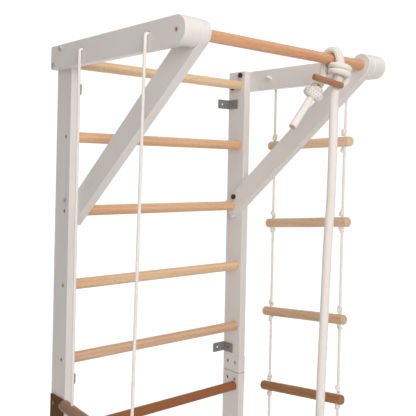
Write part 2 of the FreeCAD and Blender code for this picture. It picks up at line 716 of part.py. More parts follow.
# Trapeze, whose bar dips forward
trapeze_rear_point = vec(trapeze_x, cord_ys[0], cord_hole_z - trapeze_drop)
trapeze_climb = -math.tan(math.radians(trapeze_tilt_deg))
trapeze_spread = cord_spread - trapeze_cords_closer
trapeze_bar_length = trapeze_past_rear_cord + trapeze_spread + trapeze_past_front_cord
trapeze_front_point = trapeze_rear_point + vec(0, -1, trapeze_climb) * trapeze_spread
trapeze_tail = upwards * (trapeze_bar_diameter + 2 * knot_height)
trapeze_routes = {
    "rear": [vec(trapeze_x, cord_ys[0], cord_pivot_z), trapeze_rear_point - trapeze_tail],
    "front": [vec(trapeze_x, cord_ys[1], cord_pivot_z), trapeze_front_point - trapeze_tail],
}
trapeze_bar = hung_rod(trapeze_bar_diameter, trapeze_bar_length, trapeze_bar_end_radius,
                       trapeze_rear_point, trapeze_past_rear_cord, trapeze_climb)
trapeze_knots = []
for place, points in trapeze_routes.items():
    tube, shape = hanging_cord("trapeze_cord_" + place, points, cord_diameter)
    save("trapeze_cord_" + place, shape)
    point = crossing(tube, trapeze_rear_point, trapeze_climb)
    trapeze_bar = drilled(trapeze_bar, cord_hole(point, trapeze_bar_diameter))
    trapeze_knots.append(knot_by_rod(tube, point, trapeze_climb, trapeze_bar_diameter, -1))
save("trapeze_bar", trapeze_bar)
save("trapeze_knots", *trapeze_knots)


# Climbing rope: its loop over the bar, the turn, the knot with its tail, and the peg
def from_bar(shares):
    across, forward, up = [rope_diameter * share for share in shares]
    return vec(rope_x + across, bar_y + forward, bar_z + up)


loop_points = [from_bar(shares) for shares in loop_route_shares]
sway_pivot = loop_points[0]
loop = cord_tube("climbing_rope_loop", loop_points, rope_diameter)
save("climbing_rope_loop", loop.cut(ball(rope_diameter + 2 * cord_pivot_gap, sway_pivot)))
turn_inner = rope_diameter / 2 + knot_bore_gap
turn_middle = turn_inner + turn_width / 2
turn_half = turn_height / 2
turn_outline = [
    [(turn_middle, 0), (turn_inner + turn_width, turn_half), (turn_middle, turn_height)],
    [(turn_middle, turn_height), (turn_inner, turn_half), (turn_middle, 0)],
]
turn = turned(turn_outline, from_bar(turn_centre_share) - upwards * turn_half, upwards)
grown_loop = cord_tube("room for the loop in the turn", loop_points, rope_diameter + 2 * knot_bore_gap)
save("climbing_rope_turn", turn.cut(grown_loop))
knot_axis = (loop_points[-2] - loop_points[-1]).normalize()
knot_base = loop_points[-1] - knot_axis * rope_knot_height
tail_end = knot_base - knot_axis * rope_diameter * tail_length_share
save("climbing_rope_knot", rope_knot(knot_base, knot_axis, 0))
save("climbing_rope_tail", rod(rope_diameter * tail_diameter_share, knot_base, tail_end))
peg_start, peg_end = [from_bar(shares) for shares in peg_end_shares]
save("rope_peg", rounded_rod(peg_diameter, peg_start, peg_end, peg_end_radius))

# The hanging rope ends in a knot above the floor
hang_points = [sway_pivot]
for across, forward, height_share in hang_route_shares:
    place = from_bar((across, forward, 0))
    place.z = floor_z + height_share * total_height
    hang_points.append(place)
hang = hanging_cord("climbing_rope", hang_points, rope_diameter)[1]
save("climbing_rope", hang)
last_run = (hang_points[-1] - hang_points[-2]).normalize()
end_knot_base = hang_points[-1] - last_run * rope_knot_height
save("climbing_rope_end_knot", rope_knot(end_knot_base, last_run, rope_diameter + 2 * knot_bore_gap))
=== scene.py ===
"""Looks of the wall bars: painted and varnished wood, braided cords and rope, tied knots, metal
fittings, floor, light and camera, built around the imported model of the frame."""
import math

import bmesh
import bpy
import numpy as np
from mathutils import Matrix, Vector


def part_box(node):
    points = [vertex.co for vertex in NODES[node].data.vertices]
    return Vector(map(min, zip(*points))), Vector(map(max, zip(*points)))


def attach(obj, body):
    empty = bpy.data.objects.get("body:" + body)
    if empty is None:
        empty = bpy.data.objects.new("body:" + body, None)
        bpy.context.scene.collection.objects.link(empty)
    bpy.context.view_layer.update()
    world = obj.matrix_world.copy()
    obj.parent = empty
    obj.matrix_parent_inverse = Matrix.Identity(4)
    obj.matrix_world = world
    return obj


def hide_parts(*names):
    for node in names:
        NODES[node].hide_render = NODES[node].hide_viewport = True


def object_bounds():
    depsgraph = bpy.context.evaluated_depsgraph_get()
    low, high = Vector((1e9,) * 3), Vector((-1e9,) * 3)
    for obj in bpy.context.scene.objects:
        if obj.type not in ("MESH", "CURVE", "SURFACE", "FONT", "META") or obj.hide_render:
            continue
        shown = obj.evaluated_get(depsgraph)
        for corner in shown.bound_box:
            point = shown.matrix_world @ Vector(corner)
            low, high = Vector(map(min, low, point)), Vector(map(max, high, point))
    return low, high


bl_info = {
    "name": "Wall Bars",
    "version": (1, 0, 0),
    "blender": (4, 5, 0),
    "location": "View3D > Sidebar > Wall Bars",
    "description": "Dresses wall bars with a pull-up bar, rope ladder, trapeze and climbing rope",
    "category": "Object",
}

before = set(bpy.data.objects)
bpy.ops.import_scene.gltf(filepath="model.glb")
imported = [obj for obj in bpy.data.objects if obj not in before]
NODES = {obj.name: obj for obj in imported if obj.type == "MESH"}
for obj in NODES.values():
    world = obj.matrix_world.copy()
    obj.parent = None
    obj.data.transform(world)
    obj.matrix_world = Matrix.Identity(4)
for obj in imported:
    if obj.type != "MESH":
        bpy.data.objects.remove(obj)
CAD_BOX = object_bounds()

# Routes of the cords' centre lines, in metres
LADDER_REAR_ROUTE = [(0.3945, -0.186, 0.5242), (0.3945, -0.186, -1.1645)]
LADDER_FRONT_ROUTE = [(0.3945, -0.5, 0.5242), (0.3945, -0.488, 0.3018), (0.3945, -0.488, -1.1645)]
TRAPEZE_REAR_ROUTE = [(-0.3985, -0.186, 0.5242), (-0.3985, -0.186, -0.532)]
TRAPEZE_FRONT_ROUTE = [(-0.3985, -0.5, 0.5242), (-0.3985, -0.475, -0.5492)]
LOOP_ROUTE = [
    (0.1738, -0.622, 0.382), (0.1738, -0.622, 0.444), (0.177, -0.63785, 0.48),
    (0.177, -0.63785, 0.55985), (0.178, -0.58215, 0.55985), (0.178, -0.58215, 0.502),
    (0.15, -0.599, 0.4742), (0.1276, -0.6005, 0.45),
]
HANG_ROUTE = [
    (0.1738, -0.622, 0.382), (0.181, -0.616, 0.15692), (0.178, -0.606, 0.0071),
    (0.1775, -0.601, -0.1931), (0.1735, -0.595, -0.45292), (0.17, -0.598, -0.753),
    (0.17, -0.607, -1.04296), (0.172, -0.613, -1.303),
]

# End of the turn, tucked in beside the loop's front strand, in metres
TUCK_ROUTE = [(0.198, -0.636, 0.490), (0.197, -0.649, 0.478), (0.189, -0.656, 0.464), (0.178, -0.648, 0.456)]
TUCK_RADIUS = 0.0070

# Knot under the peg: where the tail leaves it, the way up to the loop, and the tail's end, in metres
KNOT_BASE = (0.096385, -0.60259, 0.416277)
KNOT_WAY = (0.67859, 0.04544, 0.73311)
TAIL_END = (0.016651, -0.60793, 0.330136)
TAIL_RADIUS = 0.0105

# How far up the knot's way its band, its collar and the tail's hidden end lie, in metres
BAND_UP, COLLAR_UP, TAIL_UP = 0.016, 0.037, 0.012

# Coils of the rope's head, their start an angle in radians and their lengths in metres
KNOT_BAND = {"axis": (0.42, -0.36, 0.83), "start": 0.7, "turns": 1.15, "ring": 0.0198, "rise": -0.005,
             "radius": 0.0125, "width": 0.78}
KNOT_COLLAR = {"axis": (0.3, -0.3, 0.8), "start": -0.6, "turns": 1.15, "ring": 0.0130, "rise": 0.006,
               "radius": 0.0085, "width": 0.8}
LOOP_TURN = {"axis": (0.12, 0, 1), "start": 0.66, "turns": 2.15, "ring": 0.0236, "rise": -0.0165,
             "radius": 0.0088, "width": 1.25}

# Overhand knots: strand radius in metres, squash and pull, and each end's length in strand radii
LADDER_KNOT = {"radius": 0.0039, "squash": 0.9, "pulled": 0.68, "tails": (3.0, 3.0)}
STOPPER_KNOT = {"radius": 0.0039, "squash": 0.9, "pulled": 0.68, "tails": (4.2, 3.0)}
ROPE_END_KNOT = {"radius": 0.0125, "squash": 0.72, "pulled": 0.88, "tails": (3.0, 3.2)}
ROPE_END_KNOT_AXIS = (0.002, -0.006, -0.26)

# Turn of the ladder's first knot and of each next one against it, then of the others, in radians
KNOT_TURN, KNOT_TURN_STEP = 0.6, 1.9
STOPPER_TURN, ROPE_END_TURN = 0.9, 0.4

# Bend of a cord where it leaves the arm, in metres
ARM_BEND = 0.0128

# Length of a stitch as a share of a column's width, and the stitches' mean height
STITCH_LENGTH, MEAN_STITCH_HEIGHT = 0.72, 0.66

# Relief at which the painted shade in the grooves is full, and the share left where the load pulls the rope
# smooth
FULL_RELIEF, PULLED_SMOOTH = 0.1, 0.3

# The turn's strands are thinner: fewer columns of stitches, and a share of their relief
TURN_COLUMNS_LESS, TURN_RELIEF = 2, 0.8

# Heights between which the loop's stitches grow from smooth to full, in metres
LOOP_SMOOTH_Z, LOOP_FULL_Z = 0.44, 0.49

# Flat sides of a tube for each column of stitches, and its rings for each column's width
SIDES_PER_COLUMN = 6
CORD_RINGS, KNOT_RINGS, ROPE_RINGS = 3, 4, 4.5

# Steps of a tube's end as (lift, width) in radii, and its tip's lift, for a dome and a cut face
DOME = ([(lift, math.sqrt(1 - lift * lift)) for lift in (0.35, 0.7, 0.92)], 1.0)
CUT = ([(0.06, 0.9)], 0.08)

# Sides of a round fastener, and rings on its head
FASTENER_SIDES, FASTENER_RINGS = 48, 14

# Square lights: name, place in metres, side in metres, power in watts, and where they point
LIGHTS = (
    ("front", (-1.8, -3.8, 1.2), 2.0, 94.0, (0.0, -0.3, 0.2)),
    ("top", (-0.4, -1.2, 3.2), 2.0, 32.0, (0.0, -0.3, 0.0)),
    ("right", (3.2, -1.6, 2.0), 2.0, 12.0, (0.0, -0.3, 0.2)),
)

# Floor: radii of its rings, then the wall's rings as (radius, height), in metres
FLOOR_RINGS = [0.4, 0.6, 0.8, 1.0, 1.2, 1.4, 1.6, 1.8, 2.0, 2.2, 2.4, 2.6, 3.0, 4.0, 5.5, 7.5, 9.0]
WALL_RINGS = [(9.6, 0.1), (10.1, 0.4), (10.4, 0.9), (10.5, 1.6), (10.5, 4.0), (10.5, 9.0)]
FLOOR_SPOKES = 96

# Angle from straight behind the frame where the sweep is unlit, and over which it fades, in degrees
UNLIT_ANGLE, FADE_ANGLE = 80, 45

# Radius where the glow starts, and where the floor's own colour starts to go, each with its width
GLOW_START, GLOW_WIDTH = 0.6, 2.0
BARE_START, BARE_WIDTH = 3.0, 6.0

# Colour of each piece of beech as shares of the usual beech colour: the wood's own tone, and painted shade on
# the dark trapeze bar, sixth rung and fourth ladder rung, low on the frame where the light falls off; the peg
# is made darker
BEECH_TONES_AND_SHADE = {
    "rung_1": (1.12, 1.25, 1.27), "rung_2": (1.04, 1.00, 0.96), "rung_3": (1.00, 0.95, 0.94),
    "rung_4": (1.05, 1.10, 1.12), "rung_5": (0.93, 0.94, 1.00), "rung_6": (0.44, 0.24, 0.12),
    "rung_7": (0.98, 0.97, 0.97), "rung_8": (1.05, 1.08, 1.08), "rung_9": (0.96, 0.92, 0.90),
    "rung_10": (1.02, 1.04, 1.05), "pull_up_bar": (0.92, 0.75, 0.66),
    "ladder_rung_1": (1.12, 1.25, 1.35), "ladder_rung_2": (0.98, 1.04, 1.12),
    "ladder_rung_3": (0.90, 0.94, 1.02), "ladder_rung_4": (0.50, 0.34, 0.22),
    "ladder_rung_5": (0.95, 0.96, 1.00), "ladder_rung_6": (1.05, 1.08, 1.10),
    "trapeze_bar": (0.42, 0.37, 0.35), "rope_peg": (0.52, 0.38, 0.32), "joint_dowels": (1.08, 1.15, 1.20),
}

# Height of the seam between the two sections of an upright, in metres
SEAM_Z = -0.533

# Axis and radius of the pull-up bar, as y, z and radius, and the loop's x on it, in metres
BAR_Y, BAR_Z, BAR_RADIUS = -0.610, 0.532, 0.015
LOOP_X = 0.1775

# Heights over which the bar starts to press the loop flat, and the gap left to the bar, in metres
PRESS_LOW_Z, PRESS_HIGH_Z, PRESS_GAP = 0.520, 0.540, 0.0003

# Shares by which the pressed loop gets thinner and wider
PRESS_THINNER, PRESS_WIDER = 0.16, 0.12

# Centre line of a pulled overhand knot along Z, in strand radii
OVERHAND = [
    (0, 0, -3.5), (0, 0.1, -2.5), (-0.06, 0.1, -1.49), (-0.52, -0.15, -0.64), (-1, -0.76, -0.04),
    (-0.96, -1.46, 0.66), (-0.49, -1.9, 1.41), (0.27, -1.96, 2.05), (1.08, -1.57, 2.47),
    (1.75, -0.84, 2.57), (2.03, 0.1, 2.41), (1.89, 0.99, 1.97), (1.4, 1.59, 1.36), (0.65, 1.76, 0.72),
    (-0.13, 1.79, 0.1), (-0.91, 1.8, -0.53), (-1.58, 1.45, -1.17), (-1.96, 0.71, -1.72),
    (-1.96, -0.23, -2.02), (-1.53, -1.13, -2.06), (-0.81, -1.76, -1.8), (-0.01, -1.98, -1.26),
    (0.65, -1.78, -0.54), (0.97, -1.2, 0.2), (0.8, -0.46, 0.84), (0.23, -0.03, 1.52), (0.01, 0.1, 2.48),
    (0, 0, 3.5),
]


class WALLBARS_PG_cords(bpy.types.PropertyGroup):
    """Sizes and colours of the cords and the rope."""
    cord_diameter: bpy.props.FloatProperty(
        name="Cord diameter", description="Thickness of the cords of ladder and trapeze",
        default=0.008, subtype="DISTANCE", unit="LENGTH")
    rope_diameter: bpy.props.FloatProperty(
        name="Rope diameter", description="Thickness of the climbing rope",
        default=0.025, subtype="DISTANCE", unit="LENGTH")
    cord_columns: bpy.props.IntProperty(
        name="Cord columns", description="Columns of stitches round a cord, an even number", default=8)
    rope_columns: bpy.props.IntProperty(
        name="Rope columns", description="Columns of stitches round the rope, an even number", default=10)
    relief: bpy.props.FloatProperty(
        name="Relief", description="Height of the stitches as a share of the radius",
        default=0.1, subtype="FACTOR")
    cord_colour: bpy.props.FloatVectorProperty(
        name="Cord colour", description="Colour of the cords' yarn",
        default=(0.88, 0.83, 0.775), size=3, subtype="COLOR")
    rope_colour: bpy.props.FloatVectorProperty(
        name="Rope colour", description="Colour of the rope's yarn",
        default=(0.845, 0.782, 0.722), size=3, subtype="COLOR")
    # Painted shade in the grooves between the stitches of the cords and the rope
    groove_shade_colour: bpy.props.FloatVectorProperty(
        name="Groove shade", description="Painted shade down between the stitches",
        default=(0.30, 0.205, 0.15), size=3, subtype="COLOR")


class WALLBARS_PG_wood(bpy.types.PropertyGroup):
    """Colours of paint and beech."""
    paint_colour: bpy.props.FloatVectorProperty(
        name="Paint", description="Colour of the white paint",
        default=(0.80, 0.745, 0.70), size=3, subtype="COLOR")
    beech_colour: bpy.props.FloatVectorProperty(
        name="Beech", description="Usual colour of the beech",
        default=(0.72, 0.455, 0.268), size=3, subtype="COLOR")
    # Dark brown of the joint plates: beech colour darkened with painted shade
    plate_beech_painted_shade: bpy.props.FloatVectorProperty(
        name="Plate beech in painted shade", description="Colour of the beech plates, darkened with painted shade",
        default=(0.15, 0.060, 0.018), size=3, subtype="COLOR")


class WALLBARS_PG_fittings(bpy.types.PropertyGroup):
    """Colours of metal and plastic fittings."""
    steel_colour: bpy.props.FloatVectorProperty(
        name="Zinc", description="Colour of zinc-plated steel",
        default=(0.74, 0.745, 0.75), size=3, subtype="COLOR")
    bracket_colour: bpy.props.FloatVectorProperty(
        name="Dull zinc", description="Colour of the steel angles",
        default=(0.36, 0.355, 0.335), size=3, subtype="COLOR")
    brass_colour: bpy.props.FloatVectorProperty(
        name="Brass", description="Colour of brass screws",
        default=(0.68, 0.45, 0.15), size=3, subtype="COLOR")
    cap_colour: bpy.props.FloatVectorProperty(
        name="Caps", description="Colour of the plastic caps",
        default=(0.026, 0.020, 0.016), size=3, subtype="COLOR")


class WALLBARS_PG_stage(bpy.types.PropertyGroup):
    """Camera, floor and even light."""
    camera_place: bpy.props.FloatVectorProperty(
        name="Camera", description="Place of the lens",
        default=(-1.3072, -1.7955, 0.2201), size=3, subtype="XYZ", unit="LENGTH")
    heading: bpy.props.FloatProperty(
        name="Heading", description="Turn of the view from +Y towards +X",
        default=math.radians(40.7918), subtype="ANGLE")
    pitch: bpy.props.FloatProperty(
        name="Pitch", description="Rise of the view over the horizon",
        default=math.radians(-0.0283), subtype="ANGLE")
    roll: bpy.props.FloatProperty(
        name="Roll", description="Roll of the camera", default=math.radians(-1.221), subtype="ANGLE")
    lens: bpy.props.FloatProperty(
        name="Lens", description="Focal length for a sensor 36 mm wide", default=56.417, unit="CAMERA")
    shift: bpy.props.FloatProperty(
        name="Shift", description="Upward shift of the picture as a share of its side",
        default=-0.10064, subtype="FACTOR", min=-1.0, max=1.0)
    floor_colour: bpy.props.FloatVectorProperty(
        name="Floor", description="Colour of the floor",
        default=(0.93, 0.93, 0.93), size=3, subtype="COLOR")
    ambient: bpy.props.FloatProperty(
        name="Ambient", description="Strength of the even light from all round", default=0.31)
    glow: bpy.props.FloatProperty(
        name="Glow", description="Brightness of the lit sweep behind the frame", default=1.05)


class Signal:
    """A shader socket whose arithmetic adds Math nodes."""

    def __init__(self, finish, socket):
        self.finish = finish
        self.socket = socket

    def __add__(self, other):
        return self.finish.maths("ADD", self, other)

    __radd__ = __add__

    def __sub__(self, other):
        return self.finish.maths("SUBTRACT", self, other)

    def __rsub__(self, other):
        return self.finish.maths("SUBTRACT", other, self)

    def __mul__(self, other):
        return self.finish.maths("MULTIPLY", self, other)

    __rmul__ = __mul__


class Finish:
    """A material whose nodes come from one method."""

    def __init__(self, name, **constants):
        self.material = bpy.data.materials.new(name)
        self.material.use_nodes = True
        self.tree = self.material.node_tree
        self.surface = self.tree.nodes["Principled BSDF"]
        for socket, value in constants.items():
            self.surface.inputs[socket.replace("_", " ")].default_value = value

    def node(self, kind, settings, inputs, output=0):
        """A node of a type, its settings set first, then the values or links of its sockets."""
        made = self.tree.nodes.new(kind)
        for name, value in settings.items():
            setattr(made, name, value)
        for key, value in inputs.items():
            if isinstance(value, Signal):
                self.tree.links.new(value.socket, made.inputs[key])
            else:
                made.inputs[key].default_value = value
        return Signal(self, made.outputs[output])

    def maths(self, operation, first, second):
        return self.node("ShaderNodeMath", {"operation": operation}, {0: first, 1: second})

    def place(self, scale, shift=(0, 0, 0)):
        """Coordinates on the object in metres, stretched by a scale on each axis."""
        here = self.node("ShaderNodeTexCoord", {}, {}, "Object")
        return self.node("ShaderNodeMapping", {}, {"Vector": here, "Scale": scale, "Location": shift})

    def noise(self, place, detail=3.0, roughness=0.5, distortion=0.0):
        values = {"Vector": place, "Scale": 1.0, "Detail": detail, "Roughness": roughness,
                  "Distortion": distortion}
        return self.node("ShaderNodeTexNoise", {}, values, "Fac")

    def step(self, value, low, high):
        """0 below low and 1 above high, with a smooth rise between."""
        values = {"Value": value, "From Min": low, "From Max": high}
        return self.node("ShaderNodeMapRange", {"interpolation_type": "SMOOTHSTEP"}, values)

    def mixed(self, amount, first, second):
        """One colour mixed into another, each a triple or a link."""
        values = {0: amount, 6: (*first, 1.0) if isinstance(first, tuple) else first,
                  7: (*second, 1.0) if isinstance(second, tuple) else second}
        return self.node("ShaderNodeMix", {"data_type": "RGBA"}, values, 2)

    def edge_share(self, radius):
        """0 on flat faces, rising to 1 along edges."""
        softened = self.node("ShaderNodeBevel", {"samples": 6}, {"Radius": radius}, "Normal")
        plain = self.node("ShaderNodeNewGeometry", {}, {}, "Normal")
        both = {0: softened, 1: plain}
        facing = self.node("ShaderNodeVectorMath", {"operation": "DOT_PRODUCT"}, both, "Value")
        return self.step(1.0 - facing, 0.05, 0.25)

    def share_of(self, attribute):
        return self.node("ShaderNodeAttribute", {"attribute_name": attribute}, {}, "Fac")

    def join(self, socket, value):
        self.tree.links.new(value.socket, self.surface.inputs[socket])

    def bump(self, height, distance, strength=1.0):
        values = {"Height": height, "Distance": distance, "Strength": strength}
        self.join("Normal", self.node("ShaderNodeBump", {}, values, "Normal"))


def shaded(colour, *shares):
    """Colour with each part times its share, or all times the one share."""
    return tuple(part * share for part, share in zip(colour, shares * 3 if len(shares) == 1 else shares))


def paint_finish(colours):
    """White satin paint on solid wood, with the roller's stipple and a trace of the grain."""
    paint = Finish("white_paint", Roughness=0.42)
    white = tuple(colours.paint_colour)
    cloud = paint.noise(paint.place((5, 5, 3)), detail=2.0)
    stipple = paint.noise(paint.place((900, 900, 700)), detail=2.0)
    grain = paint.noise(paint.place((160, 160, 5)), detail=4.0, roughness=0.6)
    coat = paint.mixed(paint.step(cloud * 0.7 + grain * 0.3, 0.35, 0.65), shaded(white, 0.955), white)
    scuffs = paint.step(paint.noise(paint.place((45, 45, 22)), detail=4.0, roughness=0.7), 0.50, 0.62)
    worn = shaded(white, 0.80, 0.74, 0.66)
    edge = paint.edge_share(0.0022)
    height = paint.node("ShaderNodeSeparateXYZ", {}, {"Vector": paint.place((1, 1, 1))}, "Z")
    seam = 1.0 - paint.step(paint.maths("ABSOLUTE", height - SEAM_Z, 0.0), 0.0006, 0.0020)
    coated = paint.mixed(edge * (0.12 + 0.55 * scuffs), coat, worn)
    paint.join("Base Color", paint.mixed(seam * 0.7, coated, shaded(worn, 0.25)))
    paint.join("Roughness", 0.36 + 0.14 * stipple + 0.15 * edge)
    paint.bump(stipple * 0.35 + grain * 0.65, 0.00012, 0.5)
    return paint.material


def beech_finish(name, colour, along, seed, coat=0.1, gloss=0.35):
    """Varnished beech: soft growth bands, fine streaks and the short dark flecks of its rays."""
    wood = Finish(name, Coat_Weight=coat, Coat_Roughness=0.3, Specular_IOR_Level=gloss)

    def stretched(lengthways, across):
        scale = [across, across, across]
        scale[along] = lengthways
        return wood.place(tuple(scale), (seed, 2 * seed, 3 * seed))

    pale = shaded(colour, 1.07, 1.10, 1.15)
    dark = shaded(colour, 0.93, 0.86, 0.80)
    patches = wood.noise(stretched(2.5, 16), detail=3.0)
    streaks = wood.noise(stretched(6, 320), detail=5.0, roughness=0.7, distortion=0.3)
    bands = {"Vector": stretched(0.8, 60), "Scale": 0.6, "Distortion": 5.0, "Detail": 3.0, "Detail Scale": 0.7}
    diagonal = {"wave_type": "BANDS", "bands_direction": "DIAGONAL"}
    rings = wood.node("ShaderNodeTexWave", diagonal, bands, "Fac")
    flecks = wood.step(wood.noise(stretched(130, 750), detail=1.5), 0.58, 0.68)
    pores = wood.noise(stretched(110, 2400), detail=2.0)
    tone = wood.step(0.5 * patches + 0.35 * streaks + 0.15 * rings, 0.33, 0.67)
    flecked = wood.mixed(flecks * 0.5, wood.mixed(tone, dark, pale), shaded(dark, 0.50))
    edge = wood.edge_share(0.0018)
    wood.join("Base Color", wood.mixed(edge * 0.45, flecked, shaded(colour, 0.72, 0.66, 0.62)))
    wood.join("Roughness", 0.36 + 0.12 * streaks + 0.10 * flecks)
    wood.bump(0.5 * streaks - 0.5 * flecks + 0.3 * pores, 0.00015, 0.45)
    return wood.material


def yarn_finish(name, pale, groove_shade_colour, fibre_scale):
    """Spun yarn: fine fibres, darker where they lie in shade between the plaits."""
    yarn = Finish(name, Roughness=0.92, Sheen_Weight=0.25, Sheen_Roughness=0.5)
    fine = yarn.place((fibre_scale, fibre_scale, fibre_scale * 0.5))
    fibres = yarn.noise(fine, detail=4.0, roughness=0.7)
    wear = yarn.noise(yarn.place((14, 14, 14)), detail=2.0)
    shade = yarn.step(yarn.share_of("stitch") + fibres * 0.2, 0.1, 0.85)
    colour = yarn.mixed(shade, groove_shade_colour, pale)
    darker_tone = shaded(pale, 0.95, 0.93, 0.90)
    yarn.join("Base Color", yarn.mixed(yarn.step(wear, 0.5, 0.75) * 0.4, colour, darker_tone))
    yarn.bump(fibres, 0.0003, 0.6)
    return yarn.material


def metal_finish(name, colour, roughness, mottle, metallic=1.0, recessed=False):
    """Plated or plain metal with faint spangle and handling marks, and painted shade in a driver recess."""
    metal = Finish(name, Metallic=metallic)
    cells = {"Vector": metal.place((320, 320, 320)), "Scale": 1.0}
    spangle = metal.node("ShaderNodeTexVoronoi", {"feature": "F1"}, cells, "Color")
    tone = metal.node("ShaderNodeSeparateColor", {}, {"Color": spangle}, "Red")
    marks = metal.noise(metal.place((60, 60, 900)), detail=3.0)
    plated = metal.mixed(tone * mottle + marks * 0.35, tuple(colour), shaded(colour, 0.80))
    if recessed:
        # Painted shade in the driver recess: near black there, and less metallic
        open_face = metal.share_of("stitch")
        plated = metal.mixed(metal.step(open_face, 0.3, 0.8), shaded(colour, 0.06), plated)
        metal.join("Metallic", metallic * metal.step(open_face, 0.2, 0.7))
    metal.join("Base Color", plated)
    metal.join("Roughness", roughness + 0.14 * marks + 0.08 * tone)
    metal.bump(marks, 0.00004, 0.4)
    return metal.material


def plastic_finish(name, colour):
    """Moulded plastic with a fine matt grain."""
    plastic = Finish(name)
    grain = plastic.noise(plastic.place((1400, 1400, 1400)), detail=2.0)
    lighter = shaded(colour, 1.6)
    plastic.join("Base Color", plastic.mixed(plastic.step(grain, 0.4, 0.7), tuple(colour), lighter))
    plastic.join("Roughness", 0.28 + 0.15 * grain)
    plastic.bump(grain, 0.00003, 0.4)
    return plastic.material


def sealed_end_finish():
    """Cut rope end, melted to a dull tan crust."""
    seal = Finish("sealed_rope_end", Roughness=0.6)
    crust = seal.noise(seal.place((420, 420, 420)), detail=3.0)
    seal.join("Base Color", seal.mixed(crust, (0.42, 0.29, 0.18), (0.66, 0.52, 0.38)))
    seal.bump(crust, 0.0006, 0.7)
    return seal.material


def cord_yarn(cords):
    """The one finish that all cords share."""
    made = bpy.data.materials.get("cord_yarn")
    return made or yarn_finish("cord_yarn", tuple(cords.cord_colour), tuple(cords.groove_shade_colour), 2600)


def wear_finish(nodes, material):
    """Give CAD nodes a finish."""
    for name in nodes:
        mesh = NODES[name].data
        mesh.materials.clear()
        mesh.materials.append(material)


def middle(points):
    """Centre of the box round points."""
    return (points.min(axis=0) + points.max(axis=0)) / 2


def eased(share):
    """Share held between 0 and 1, with a smooth start and end."""
    held = np.clip(share, 0.0, 1.0)
    return held * held * (3 - 2 * held)


def turned_to(axis):
    """Rotation that turns Z to an axis."""
    return Vector((0, 0, 1)).rotation_difference(Vector(axis)).to_matrix()


def ring_spacing(radius, columns, rings):
    """Distance between a tube's rings, so many to a column's width."""
    return 2 * math.pi * radius / columns / rings


def spline_line(points, spacing):
    """Evenly spaced points on the NURBS curve that has the given control points."""
    curve = bpy.data.curves.new("route", "CURVE")
    curve.dimensions = "3D"
    spline = curve.splines.new("NURBS")
    spline.points.add(len(points) - 1)
    for point, place in zip(spline.points, points):
        point.co = (*place, 1.0)
    spline.order_u = 3
    spline.use_endpoint_u = True
    spline.resolution_u = 24
    holder = bpy.data.objects.new("route", curve)
    mesh = bpy.data.meshes.new_from_object(holder)
    dense = np.array([vertex.co for vertex in mesh.vertices])
    bpy.data.objects.remove(holder)
    bpy.data.curves.remove(curve)
    bpy.data.meshes.remove(mesh)
    steps = np.linalg.norm(np.diff(dense, axis=0), axis=1)
    reached = np.concatenate([[0.0], np.cumsum(steps)])
    count = max(2, round(reached[-1] / spacing))
    wanted = np.linspace(0, reached[-1], count + 1)
    return np.stack([np.interp(wanted, reached, dense[:, axis]) for axis in range(3)], axis=1)


def stitch_height(columns, stitches):
    """Relief from 0 to 1 of a round braid: lengthwise columns of slanted stitches, in pairs of Vs."""
    across = columns % 1
    slant = np.where(np.floor(columns) % 2 < 1, across, 1 - across)
    along = (stitches + 0.9 * slant) % 1
    notch = 0.15 + 0.85 * np.sin(np.pi * along) ** 2
    return 1 - (1 - np.sin(np.pi * across) ** 1.4) * notch


def carried_sides(tangents):
    """A direction square to each tangent, carried along the line without twist."""
    side = Vector(tangents[0]).orthogonal().normalized()
    sides = [np.array(side)]
    for before, after in zip(tangents, tangents[1:]):
        side = (Vector(before).rotation_difference(Vector(after)) @ side).normalized()
        sides.append(np.array(side))
    return np.array(sides)


